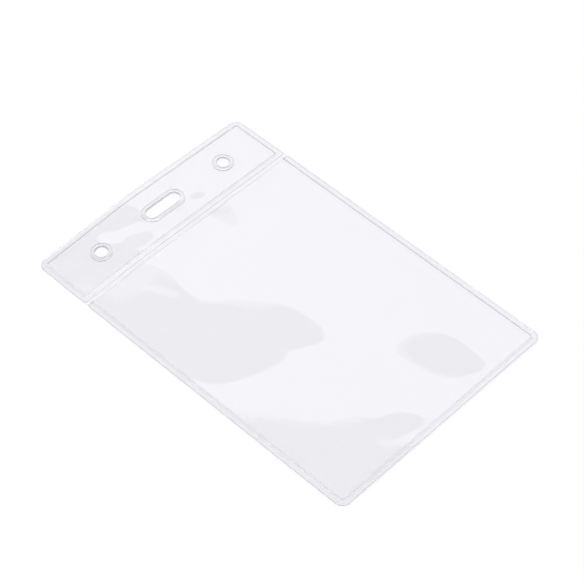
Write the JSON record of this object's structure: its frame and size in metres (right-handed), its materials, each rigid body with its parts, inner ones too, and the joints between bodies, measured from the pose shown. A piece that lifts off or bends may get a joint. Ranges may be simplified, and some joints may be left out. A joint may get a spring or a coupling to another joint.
{
  "type": "lanyard badge holder",
  "caption": "Clear soft vinyl badge holder: portrait card pocket with welded edges and an open top lip, under a hinged hanging tab with a punched slot and round holes.",
  "frame": {"origin": "under the middle of the holder as it lies on its back film: the centre of its plan, at the level of the lowest face", "axes": "+X across the holder to the right when seen from the window side with the tab up, +Y along the holder towards the tab, +Z out of the window side"},
  "size_m": [0.096, 0.144, 0.0012],
  "materials": {
    "clear_film": "glossy clear soft vinyl",
    "window_film": "glossy clear soft vinyl",
    "weld": "glossy welded vinyl",
    "punched_rim": "glossy welded vinyl, die cut"
  },
  "bodies": {
    "pocket": {"pocket_back_film": "clear_film", "pocket_weld_seam": "weld", "crease_strip": "clear_film"},
    "window": {"pocket_front_film": "window_film"},
    "tab": {"tab_back_film": "clear_film", "tab_front_film": "clear_film", "tab_weld_seam": "weld", "slot_rim": "punched_rim", "left_hole_rim": "punched_rim", "right_hole_rim": "punched_rim"}
  },
  "joints": [
    {"name": "tab_fold", "type": "hinge", "parent": "pocket", "child": "tab", "pos_m": [0, 0.04645, 0.00015], "axis": [1, 0, 0], "range_deg": [-75, 75], "stiffness_Nm_per_rad": 0.0025},
    {"name": "mouth_open", "type": "hinge", "parent": "pocket", "child": "window", "pos_m": [0, -0.0696, 0.00075], "axis": [1, 0, 0], "range_deg": [0, 4], "stiffness_Nm_per_rad": 0.05}
  ]
}
